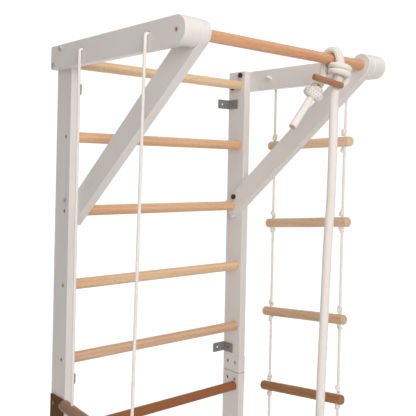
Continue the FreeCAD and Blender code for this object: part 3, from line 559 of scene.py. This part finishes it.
class Mesh:
    """Vertices, faces and stitch heights that several tubes or fasteners are gathered in."""

    def __init__(self):
        self.vertices = []
        self.faces = []
        self.heights = []
        self.sealed_faces = []

    def tube(self, line, radius, columns, relief, press=None, rounded=(False, False), sealed=False):
        """Braided tube along a line, its relief one number or one for each point, with domed ends
        where rounded says so, pressed into shape at last."""
        relief = np.broadcast_to(relief, len(line))[:, None]
        tangents = np.gradient(line, axis=0)
        tangents /= np.linalg.norm(tangents, axis=1)[:, None]
        sides = carried_sides(tangents)
        others = np.cross(tangents, sides)
        steps = np.linalg.norm(np.diff(line, axis=0), axis=1)
        reached = np.concatenate([[0.0], np.cumsum(steps)])
        stitch = STITCH_LENGTH * 2 * math.pi * radius / columns
        segments = SIDES_PER_COLUMN * columns
        angles = (np.arange(segments) + 0.5) / segments * 2 * math.pi
        height = stitch_height(columns * angles[None, :] / (2 * math.pi), reached[:, None] / stitch)
        radii = radius * (1 + relief * (height - MEAN_STITCH_HEIGHT))
        flat = (np.cos(angles)[None, :] * radii)[..., None]
        tall = (np.sin(angles)[None, :] * radii)[..., None]
        spokes = flat * sides[:, None, :] + tall * others[:, None, :]
        first = len(self.vertices)
        self.vertices.extend((line[:, None, :] + spokes).reshape(-1, 3))
        # Stitch heights kept for the finish, which paints shade in the grooves where they are low
        shown = 1 - (1 - height) * np.minimum(1.0, relief / FULL_RELIEF)
        self.heights.extend(shown.reshape(-1))
        for i in range(len(line) - 1):
            row = first + i * segments
            for j in range(segments):
                k = (j + 1) % segments
                self.faces.append((row + j, row + k, row + segments + k, row + segments + j))
        last = first + (len(line) - 1) * segments
        self.close(first, spokes[0], line[0], -radius * tangents[0], rounded[0])
        cover = self.close(last, spokes[-1], line[-1], radius * tangents[-1], rounded[1], forward=True)
        if sealed:
            self.sealed_faces.extend(cover)
        if press:
            self.vertices[first:] = list(press(np.array(self.vertices[first:])))

    def close(self, ring, spokes, centre, reach, domed, forward=False):
        """Dome or cut face on the ring of vertices at a tube's end, and its tip's faces by number."""
        steps, tip_lift = DOME if domed else CUT
        segments = len(spokes)
        edge = [ring + j for j in range(segments)]
        for lift, width in steps:
            start = len(self.vertices)
            self.vertices.extend(centre + spokes * width + reach * lift)
            self.heights.extend([0.5] * segments)
            for j in range(segments):
                k = (j + 1) % segments
                face = (edge[j], edge[k], start + k, start + j)
                self.faces.append(face if forward else face[::-1])
            edge = [start + j for j in range(segments)]
        tip = len(self.vertices)
        self.vertices.append(centre + reach * tip_lift)
        self.heights.append(0.5)
        cover = range(len(self.faces), len(self.faces) + segments)
        for j in range(segments):
            face = (edge[j], edge[(j + 1) % segments], tip)
            self.faces.append(face if forward else face[::-1])
        return cover

    def knot(self, centre, axis, turn, columns, relief, radius, squash, pulled, tails):
        """Overhand knot about a centre, its ends along an axis, its strands pulled into each other."""
        facing = turned_to(axis) @ Matrix.Rotation(turn, 3, "Z")
        points = [(x * pulled, y * pulled, z * squash) for x, y, z in OVERHAND]
        points[0] = (0, 0, -tails[0] * squash)
        points[-1] = (0, 0, tails[1] * squash)
        placed = [Vector(centre) + facing @ (Vector(point) * radius) for point in points]
        line = spline_line(placed, ring_spacing(radius, columns, KNOT_RINGS))
        self.tube(line, radius, columns, relief)

    def coil(self, centre, columns, relief, axis, start, turns, ring, rise, radius, width):
        """Strand laid in a coil about an axis, rising with each turn, its section made wider or
        narrower away from the axis."""
        facing = turned_to(axis)
        steps = max(8, round(14 * turns))
        points = []
        for step in range(steps + 1):
            share = step / steps - 0.5
            angle = start + share * turns * 2 * math.pi
            local = Vector((ring * math.cos(angle), ring * math.sin(angle), share * turns * rise))
            points.append(tuple(Vector(centre) + facing @ local))
        way = np.array(facing.col[2])

        def widened(vertices):
            apart = vertices - np.array(centre)
            along = (apart @ way)[:, None] * way
            outward = apart - along
            distance = np.linalg.norm(outward, axis=1)
            wanted = ring + (distance - ring) * width
            return np.array(centre) + along + outward * (wanted / distance)[:, None]

        line = spline_line(points, ring_spacing(radius, columns, KNOT_RINGS))
        self.tube(line, radius, columns, relief, press=widened, rounded=(True, True))

    def turned(self, centre, axis, profile, recess, depth):
        """Round fastener from a profile of depths and radii, that starts at its head's rim, with a
        driver recess in the head."""
        facing = turned_to(axis)
        crown, top_radius = profile[0]
        head = [(0.0, top_radius * ring / FASTENER_RINGS) for ring in range(1, FASTENER_RINGS + 1)]
        rings = head + profile[1:]
        first = len(self.vertices)

        # Each vertex keeps its share of open face; the recess, at 0, gets painted shade in the finish
        def add(x, y, down, open_face):
            self.vertices.append(np.array(Vector(centre) + facing @ Vector((x, y, -down))))
            self.heights.append(open_face)

        add(0.0, 0.0, recess(0.0, 0.0) * depth, 0.0)
        for number, (down, ring_radius) in enumerate(rings):
            for segment in range(FASTENER_SIDES):
                angle = segment / FASTENER_SIDES * 2 * math.pi
                x, y = ring_radius * math.cos(angle), ring_radius * math.sin(angle)
                hollow = 0.0
                if number < len(head):
                    hollow = recess(x, y)
                    down = crown * (ring_radius / top_radius) ** 2 + hollow * depth
                add(x, y, down, 1.0 - hollow)
        for segment in range(FASTENER_SIDES):
            after = (segment + 1) % FASTENER_SIDES
            self.faces.append((first, first + 1 + segment, first + 1 + after))
            for ring in range(len(rings) - 1):
                row = first + 1 + ring * FASTENER_SIDES
                below = row + FASTENER_SIDES
                self.faces.append((row + segment, below + segment, below + after, row + after))
        last = first + 1 + (len(rings) - 1) * FASTENER_SIDES
        self.faces.append(tuple(last + segment for segment in reversed(range(FASTENER_SIDES))))

    def piece(self, node, ending, body, slot, materials):
        """Smooth mesh object that rides on a body, stands for a CAD node and is named after it, with
        its stitch heights as an attribute. Its second material is for sealed ends."""
        name = node + ending
        mesh = bpy.data.meshes.new(name)
        mesh.from_pydata([tuple(vertex) for vertex in self.vertices], [], self.faces)
        mesh.validate()
        for polygon in mesh.polygons:
            polygon.use_smooth = True
        for material in materials:
            mesh.materials.append(material)
        attribute = mesh.attributes.new("stitch", "FLOAT", "POINT")
        attribute.data.foreach_set("value", np.array(self.heights, np.float32))
        for face in self.sealed_faces:
            mesh.polygons[face].material_index = 1
        piece = bpy.data.objects.new(name, mesh)
        bpy.context.scene.collection.objects.link(piece)
        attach(piece, body)
        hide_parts(node)
        return piece


def solids_of(node):
    """Vertices of each separate solid of a CAD node."""
    merged = bmesh.new()
    merged.from_mesh(NODES[node].data)
    bmesh.ops.remove_doubles(merged, verts=merged.verts, dist=1e-6)
    seen = set()
    solids = []
    for start in merged.verts:
        if start in seen:
            continue
        group = []
        waiting = [start]
        seen.add(start)
        while waiting:
            vertex = waiting.pop()
            group.append(vertex.co.copy())
            for edge in vertex.link_edges:
                other = edge.other_vert(vertex)
                if other not in seen:
                    seen.add(other)
                    waiting.append(other)
        solids.append(np.array(group))
    merged.free()
    return solids


def cross_recess(half_width, reach):
    """Depth share of a cross-shaped driver recess, as a function of the place on the head."""
    wall, slope = 0.0004, 0.0009

    def share(x, y):
        thin, far = min(abs(x), abs(y)), max(abs(x), abs(y))
        inside = min(1.0, max(0.0, (half_width - thin) / wall + 0.5))
        return inside * min(1.0, max(0.0, (reach - far) / slope))
    return share


def socket_recess(across_flats):
    """Depth share of a six-sided socket, as a function of the place on the head."""
    wall = 0.0004
    sides = [(math.cos(turn), math.sin(turn)) for turn in (0.0, math.pi / 3, 2 * math.pi / 3)]

    def share(x, y):
        far = max(abs(x * across + y * up) for across, up in sides)
        return min(1.0, max(0.0, (across_flats / 2 - far) / wall + 0.5))
    return share


def fasteners(node, ending, slot, material, recess, depth, crown, head_length, outward=1.0):
    """Screws or bolts along X in place of a CAD node, their heads with a driver recess. A head with
    a crown is a dome on a straight side, and one without is countersunk."""
    made = Mesh()
    for solid in solids_of(node):
        low, high = solid.min(axis=0), solid.max(axis=0)
        centre = middle(solid)
        facing = math.copysign(1.0, centre[0]) * outward
        top, end = (high[0], low[0]) if facing > 0 else (low[0], high[0])
        length = high[0] - low[0]
        head = (high[1] - low[1]) / 2
        shank_part = solid[np.abs(solid[:, 0] - top) > 0.7 * length]
        shank = np.abs(shank_part[:, 1] - centre[1]).max()
        end_part = solid[np.abs(solid[:, 0] - end) < 0.0001]
        tip = np.abs(end_part[:, 1] - centre[1]).max()
        profile = [(crown, head * 0.97), (crown + 0.0003, head), (head_length, head if crown else shank),
                   (head_length, shank), (length - 0.001, shank), (length, max(tip, 0.3 * shank))]
        made.turned((top, centre[1], centre[2]), (facing, 0.0, 0.0), profile, recess, depth)
    return made.piece(node, ending, "frame", slot, [material])


def sweep_mesh(low, heading, around):
    """Round floor that rises to a wall, with two shares at each vertex: how far it shines itself,
    fully behind the frame and as much as around says elsewhere, and how far that hides its colour."""
    profile = [(radius, 0.0) for radius in FLOOR_RINGS] + WALL_RINGS
    vertices = [(0.0, 0.0, low)]
    lit = [0.0]
    hidden = [0.0]
    for radius, height in profile:
        for spoke in range(FLOOR_SPOKES):
            angle = spoke / FLOOR_SPOKES * 2 * math.pi
            away = (angle - (math.pi / 2 - heading) + math.pi) % (2 * math.pi) - math.pi
            behind = eased((math.radians(UNLIT_ANGLE) - abs(away)) / math.radians(FADE_ANGLE))
            far = eased((radius - GLOW_START) / GLOW_WIDTH)
            distant = eased((radius - BARE_START) / BARE_WIDTH)
            vertices.append((radius * math.cos(angle), radius * math.sin(angle), low + height))
            lit.append(max(behind * far, around * distant))
            hidden.append(max(behind * far, distant))
    faces = [(0, 1 + spoke, 1 + (spoke + 1) % FLOOR_SPOKES) for spoke in range(FLOOR_SPOKES)]
    for ring in range(len(profile) - 1):
        row = 1 + ring * FLOOR_SPOKES
        beyond = row + FLOOR_SPOKES
        for spoke in range(FLOOR_SPOKES):
            after = (spoke + 1) % FLOOR_SPOKES
            faces.append((row + spoke, beyond + spoke, beyond + after, row + after))
    mesh = bpy.data.meshes.new("floor")
    mesh.from_pydata(vertices, [], faces)
    for name, shares in (("lit", lit), ("hidden", hidden)):
        attribute = mesh.attributes.new(name, "FLOAT", "POINT")
        attribute.data.foreach_set("value", np.array(shares, np.float32))
    for polygon in mesh.polygons:
        polygon.use_smooth = True
    return mesh


class WALLBARS_OT_stage(bpy.types.Operator):
    """Camera, floor and soft light."""
    bl_idname = "wallbars.stage"
    bl_label = "Stage"

    def execute(self, context):
        stage = context.scene.wallbars_stage
        self.set_camera(context, stage)
        self.lay_floor(context, stage)
        self.hang_lights(context, stage)
        context.scene.view_settings.view_transform = "Standard"
        return {"FINISHED"}

    def set_camera(self, context, stage):
        """Camera where the photo was taken from."""
        camera_data = bpy.data.cameras.new("camera")
        camera_data.lens = stage.lens
        camera_data.sensor_width = 36.0
        camera_data.shift_y = stage.shift
        camera_data.clip_start = 0.05
        camera_data.clip_end = 200.0
        camera = bpy.data.objects.new("camera", camera_data)
        ahead = Vector((math.sin(stage.heading) * math.cos(stage.pitch),
                        math.cos(stage.heading) * math.cos(stage.pitch), math.sin(stage.pitch)))
        right = Vector((math.cos(stage.heading), -math.sin(stage.heading), 0))
        down = ahead.cross(right)
        rolled_right = right * math.cos(stage.roll) + down * math.sin(stage.roll)
        rolled_down = down * math.cos(stage.roll) - right * math.sin(stage.roll)
        facing = Matrix((rolled_right, -rolled_down, -ahead)).transposed()
        camera.matrix_world = Matrix.Translation(Vector(stage.camera_place)) @ facing.to_4x4()
        context.scene.collection.objects.link(camera)
        context.scene.camera = camera

    def lay_floor(self, context, stage):
        """Pale floor that rises to a wall and glows behind the frame."""
        mesh = sweep_mesh(CAD_BOX[0].z, stage.heading, stage.ambient / stage.glow)
        sweep = bpy.data.objects.new("floor", mesh)
        context.scene.collection.objects.link(sweep)
        floor = Finish("pale_floor", Roughness=0.9, Emission_Strength=stage.glow)
        shade = floor.noise(floor.place((2, 2, 2)), detail=1.0)
        pale = tuple(stage.floor_colour)
        black, white = (0.0, 0.0, 0.0), (1.0, 1.0, 1.0)
        ground = floor.mixed(shade, shaded(pale, 0.985), pale)
        floor.join("Base Color", floor.mixed(floor.share_of("hidden"), ground, black))
        floor.join("Emission Color", floor.mixed(floor.share_of("lit"), black, white))
        mesh.materials.append(floor.material)

    def hang_lights(self, context, stage):
        """Even light from all round and three soft lamps."""
        world = bpy.data.worlds.new("studio")
        world.use_nodes = True
        background = world.node_tree.nodes["Background"]
        background.inputs["Color"].default_value = (1, 1, 1, 1)
        background.inputs["Strength"].default_value = stage.ambient
        context.scene.world = world
        for name, place, size, power, target in LIGHTS:
            data = bpy.data.lights.new(name, "AREA")
            data.shape = "SQUARE"
            data.size = size
            data.energy = power
            lamp = bpy.data.objects.new(name, data)
            lamp.location = place
            lamp.rotation_mode = "QUATERNION"
            lamp.rotation_quaternion = (Vector(target) - Vector(place)).to_track_quat("-Z", "Y")
            context.scene.collection.objects.link(lamp)


class WALLBARS_OT_ladder_cords(bpy.types.Operator):
    """Cords of the rope ladder with their knots."""
    bl_idname = "wallbars.ladder_cords"
    bl_label = "Ladder cords"

    def execute(self, context):
        cords = context.scene.wallbars_cords
        hang_cords("ladder", "rope_ladder", (LADDER_REAR_ROUTE, LADDER_FRONT_ROUTE), cords)
        thread_cords("ladder", (LADDER_REAR_ROUTE, LADDER_FRONT_ROUTE), cords, 1.0)
        return {"FINISHED"}


class WALLBARS_OT_trapeze_cords(bpy.types.Operator):
    """Cords of the trapeze with their knots."""
    bl_idname = "wallbars.trapeze_cords"
    bl_label = "Trapeze cords"

    def execute(self, context):
        cords = context.scene.wallbars_cords
        hang_cords("trapeze", "trapeze", (TRAPEZE_REAR_ROUTE, TRAPEZE_FRONT_ROUTE), cords)
        thread_cords("trapeze", (TRAPEZE_REAR_ROUTE, TRAPEZE_FRONT_ROUTE), cords, -1.0)
        return {"FINISHED"}


def hang_cords(name, body, routes, cords):
    """Two hanging cords and the knots on them."""
    yarn = cord_yarn(cords)
    radius = cords.cord_diameter / 2
    columns = cords.cord_columns
    for place, route in zip(("rear", "front"), routes):
        knots = Mesh()
        for number, solid in enumerate(solids_of(name + "_knots")):
            centre = middle(solid)
            on_this_cord = abs(centre[1] - route[-1][1]) < 0.05
            if on_this_cord:
                turn = KNOT_TURN + KNOT_TURN_STEP * number
                knots.knot(centre, (0, 0, 1), turn, columns, cords.relief, **LADDER_KNOT)
        tied = knots.piece(name + "_knots", "_%s_tied" % place, body, "white_cord", [yarn])
        line = spline_line(route, ring_spacing(radius, columns, CORD_RINGS))
        tube = Mesh()
        tube.tube(line, radius, columns, cords.relief, rounded=(True, False))
        cord = tube.piece("%s_cord_%s" % (name, place), "_braid", body, "white_cord", [yarn])


def thread_cords(name, routes, cords, side):
    """The cords' stretch through the arm, round its edge, and the stopper knots behind it."""
    yarn = cord_yarn(cords)
    radius = cords.cord_diameter / 2
    columns = cords.cord_columns
    tops = Mesh()
    ends = Mesh()
    for route, solid in zip(routes, solids_of(name + "_stopper_knots")):
        x, y, z = route[0]
        knot_x, _, hole_z = middle(solid)
        points = [
            (knot_x, y, hole_z), (x - side * ARM_BEND * 1.2, y, hole_z),
            (x - side * ARM_BEND * 0.08, y, hole_z - ARM_BEND * 0.02),
            (x, y, hole_z - ARM_BEND * 0.75), (x, y, z),
        ]
        line = spline_line(points, ring_spacing(radius, columns, CORD_RINGS))
        tops.tube(line, radius, columns, cords.relief, rounded=(False, True))
        ends.knot(middle(solid), (side, 0, 0), STOPPER_TURN, columns, cords.relief, **STOPPER_KNOT)
    tops.piece(name + "_cord_tops", "_braid", "frame", "white_cord", [yarn])
    ends.piece(name + "_stopper_knots", "_tied", "frame", "white_cord", [yarn])


class WALLBARS_OT_climbing_rope(bpy.types.Operator):
    """Climbing rope with its loop, turn, knots and tail."""
    bl_idname = "wallbars.climbing_rope"
    bl_label = "Climbing rope"

    def execute(self, context):
        cords = context.scene.wallbars_cords
        yarn = yarn_finish("rope_yarn", tuple(cords.rope_colour), tuple(cords.groove_shade_colour), 1500)
        sealed = sealed_end_finish()
        self.tie_head(cords, yarn)
        self.lay_tail(cords, yarn, sealed)
        self.hang_rope(cords, yarn, sealed)
        return {"FINISHED"}

    def tie_head(self, cords, yarn):
        """Closing knot, turn and loop."""
        columns, relief = cords.rope_columns, cords.relief
        base, way = Vector(KNOT_BASE), Vector(KNOT_WAY).normalized()
        knot = Mesh()
        knot.coil(base + way * BAND_UP, columns, relief, **KNOT_BAND)
        knot.coil(base + way * COLLAR_UP, columns, relief, **KNOT_COLLAR)
        tied = knot.piece("climbing_rope_knot", "_tied", "rope_head", "white_rope", [yarn])

        low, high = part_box("climbing_rope_turn")
        turn = Mesh()
        turn.coil((low + high) / 2, columns - TURN_COLUMNS_LESS, TURN_RELIEF * relief, **LOOP_TURN)
        spacing = ring_spacing(cords.rope_diameter / 2, columns, ROPE_RINGS)
        turn.tube(spline_line(TUCK_ROUTE, spacing), TUCK_RADIUS, columns, relief, rounded=(True, True))
        turn = turn.piece("climbing_rope_turn", "_braid", "rope_head", "white_rope", [yarn])

        line = spline_line(LOOP_ROUTE, spacing)
        shown = (line[:, 2] - LOOP_SMOOTH_Z) / (LOOP_FULL_Z - LOOP_SMOOTH_Z)
        loop = Mesh()
        loop.tube(line, cords.rope_diameter / 2, columns, relief * np.clip(shown, PULLED_SMOOTH, 1.0),
                  press=pressed_on_bar, rounded=(True, False))
        loop = loop.piece("climbing_rope_loop", "_braid", "rope_head", "white_rope", [yarn])

    def lay_tail(self, cords, yarn, sealed):
        """Tail out of the closing knot, its end melted shut."""
        start = Vector(KNOT_BASE) + Vector(KNOT_WAY).normalized() * TAIL_UP
        spacing = ring_spacing(cords.rope_diameter / 2, cords.rope_columns, ROPE_RINGS)
        line = spline_line([tuple(start), KNOT_BASE, TAIL_END], spacing)
        tail = Mesh()
        tail.tube(line, TAIL_RADIUS, cords.rope_columns, PULLED_SMOOTH * cords.relief, sealed=True)
        tail.piece("climbing_rope_tail", "_braid", "rope_head", "white_rope", [yarn, sealed])

    def hang_rope(self, cords, yarn, sealed):
        """Hanging rope and the knot at its lower end."""
        radius, columns, relief = cords.rope_diameter / 2, cords.rope_columns, cords.relief
        line = spline_line(HANG_ROUTE, ring_spacing(radius, columns, ROPE_RINGS))
        centre = middle(solids_of("climbing_rope_end_knot")[0])
        end_knot = Mesh()
        end_knot.knot(centre, ROPE_END_KNOT_AXIS, ROPE_END_TURN, columns, relief, **ROPE_END_KNOT)
        end_knot = end_knot.piece("climbing_rope_end_knot", "_tied", "rope_hang", "white_rope", [yarn])
        hang = Mesh()
        hang.tube(line, radius, columns, PULLED_SMOOTH * relief, rounded=(True, False), sealed=True)
        hang = hang.piece("climbing_rope", "_braid", "rope_hang", "white_rope", [yarn, sealed])


def pressed_on_bar(vertices):
    """Rope vertices, flattened where the rope lies on the bar."""
    y = vertices[:, 1] - BAR_Y
    z = vertices[:, 2] - BAR_Z
    distance = np.hypot(y, z)
    share = eased((vertices[:, 2] - PRESS_LOW_Z) / (PRESS_HIGH_Z - PRESS_LOW_Z))
    thickness = distance - BAR_RADIUS - PRESS_GAP
    wanted = distance - PRESS_THINNER * share * np.maximum(thickness, 0)
    x = LOOP_X + (vertices[:, 0] - LOOP_X) * (1 + PRESS_WIDER * share)
    return np.stack([x, BAR_Y + y * wanted / distance, BAR_Z + z * wanted / distance], axis=1)


class WALLBARS_OT_painted_wood(bpy.types.Operator):
    """White paint on uprights, arms, spacers and braces."""
    bl_idname = "wallbars.painted_wood"
    bl_label = "Painted wood"

    def execute(self, context):
        wooden = [name for name in NODES if name.startswith(("upright", "arm", "spacer", "brace"))]
        painted = [name for name in wooden if not name.endswith("bolts")]
        wear_finish(painted, paint_finish(context.scene.wallbars_wood))
        return {"FINISHED"}


class WALLBARS_OT_beech(bpy.types.Operator):
    """Varnish on rungs, bars, peg and dowels, painted shade in the tones of some of them, and beech darkened
    to brown with painted shade on the joint plates.
    """
    bl_idname = "wallbars.beech"
    bl_label = "Beech"

    def execute(self, context):
        wood = context.scene.wallbars_wood
        for seed, (name, tone_and_shade) in enumerate(BEECH_TONES_AND_SHADE.items()):
            along = 2 if name == "joint_dowels" else 1 if name.startswith(("ladder", "trapeze")) else 0
            # The tone shares hold the wood's own tone and, on some pieces, painted shade
            colour = shaded(wood.beech_colour, *tone_and_shade)
            wear_finish([name], beech_finish("beech_" + name, colour, along, seed))
        # Joint plates: beech colour darkened to a deep brown as painted shade
        plates = beech_finish("beech_plates", tuple(wood.plate_beech_painted_shade), 2, 35, coat=0.0, gloss=0.05)
        wear_finish(["joint_plate_left", "joint_plate_right"], plates)
        return {"FINISHED"}


class WALLBARS_OT_fittings(bpy.types.Operator):
    """Steel angles, bolts, nuts and black caps."""
    bl_idname = "wallbars.fittings"
    bl_label = "Fittings"

    def execute(self, context):
        fittings = context.scene.wallbars_fittings
        steel = metal_finish("zinc_plated_steel", fittings.steel_colour, 0.30, 0.5)
        wear_finish(["arm_bolts", "brace_bolts", "bolt_nuts"], steel)
        dull = metal_finish("dull_zinc", fittings.bracket_colour, 0.5, 0.6, 0.6)
        wear_finish(["wall_brackets_left", "wall_brackets_right"], dull)
        # Joint nuts sit in recessed holes: their brass is darkened, painted shade for the holes' shadow
        darker_tone = metal_finish("brass_in_painted_shade", shaded(fittings.brass_colour, 0.6), 0.5, 0.4, 0.7)
        wear_finish(["joint_nuts"], darker_tone)
        wear_finish(["bolt_caps"], plastic_finish("black_plastic", fittings.cap_colour))
        return {"FINISHED"}


class WALLBARS_OT_screws(bpy.types.Operator):
    """Screws and joint bolts, with a recess for the driver in each head."""
    bl_idname = "wallbars.screws"
    bl_label = "Screws"

    def execute(self, context):
        fittings = context.scene.wallbars_fittings
        brass = metal_finish("screw_brass", fittings.brass_colour, 0.26, 0.15, recessed=True)
        zinc = metal_finish("screw_zinc", fittings.bracket_colour, 0.35, 0.4, recessed=True)
        cross = cross_recess(half_width=0.0012, reach=0.0044)
        small_cross = cross_recess(half_width=0.0006, reach=0.0024)
        socket = socket_recess(across_flats=0.004)
        for node in ("rung_screws", "bar_end_screws"):
            fasteners(node, "_cross", "brass", brass, cross, depth=0.0026, crown=0.0, head_length=0.0034)
        fasteners("bracket_screws", "_cross", "zinc_steel", zinc, small_cross, depth=0.0014, crown=0.0012,
                  head_length=0.0025, outward=-1.0)
        fasteners("joint_bolts", "_socket", "zinc_steel", zinc, socket, depth=0.0018, crown=0.0022,
                  head_length=0.0036)
        return {"FINISHED"}


class WALLBARS_PT_panel(bpy.types.Panel):
    """Buttons for every group of pieces."""
    bl_label = "Wall Bars"
    bl_idname = "WALLBARS_PT_panel"
    bl_space_type = "VIEW_3D"
    bl_region_type = "UI"
    bl_category = "Wall Bars"

    def draw(self, context):
        for operator in OPERATORS:
            self.layout.operator(operator.bl_idname)


SETTINGS = {
    "wallbars_cords": WALLBARS_PG_cords, "wallbars_wood": WALLBARS_PG_wood,
    "wallbars_fittings": WALLBARS_PG_fittings, "wallbars_stage": WALLBARS_PG_stage,
}
OPERATORS = (
    WALLBARS_OT_stage, WALLBARS_OT_ladder_cords, WALLBARS_OT_trapeze_cords, WALLBARS_OT_climbing_rope,
    WALLBARS_OT_painted_wood, WALLBARS_OT_beech, WALLBARS_OT_fittings, WALLBARS_OT_screws,
)


def register():
    for kind in (*SETTINGS.values(), *OPERATORS, WALLBARS_PT_panel):
        bpy.utils.register_class(kind)
    for name, kind in SETTINGS.items():
        setattr(bpy.types.Scene, name, bpy.props.PointerProperty(type=kind))


def unregister():
    for name in SETTINGS:
        delattr(bpy.types.Scene, name)
    for kind in (WALLBARS_PT_panel, *reversed(OPERATORS), *reversed(list(SETTINGS.values()))):
        bpy.utils.unregister_class(kind)


def main():
    register()
    bpy.ops.wallbars.stage()
    bpy.ops.wallbars.ladder_cords()
    bpy.ops.wallbars.trapeze_cords()
    bpy.ops.wallbars.climbing_rope()
    bpy.ops.wallbars.painted_wood()
    bpy.ops.wallbars.beech()
    bpy.ops.wallbars.fittings()
    bpy.ops.wallbars.screws()


if __name__ == "__main__":
    main()
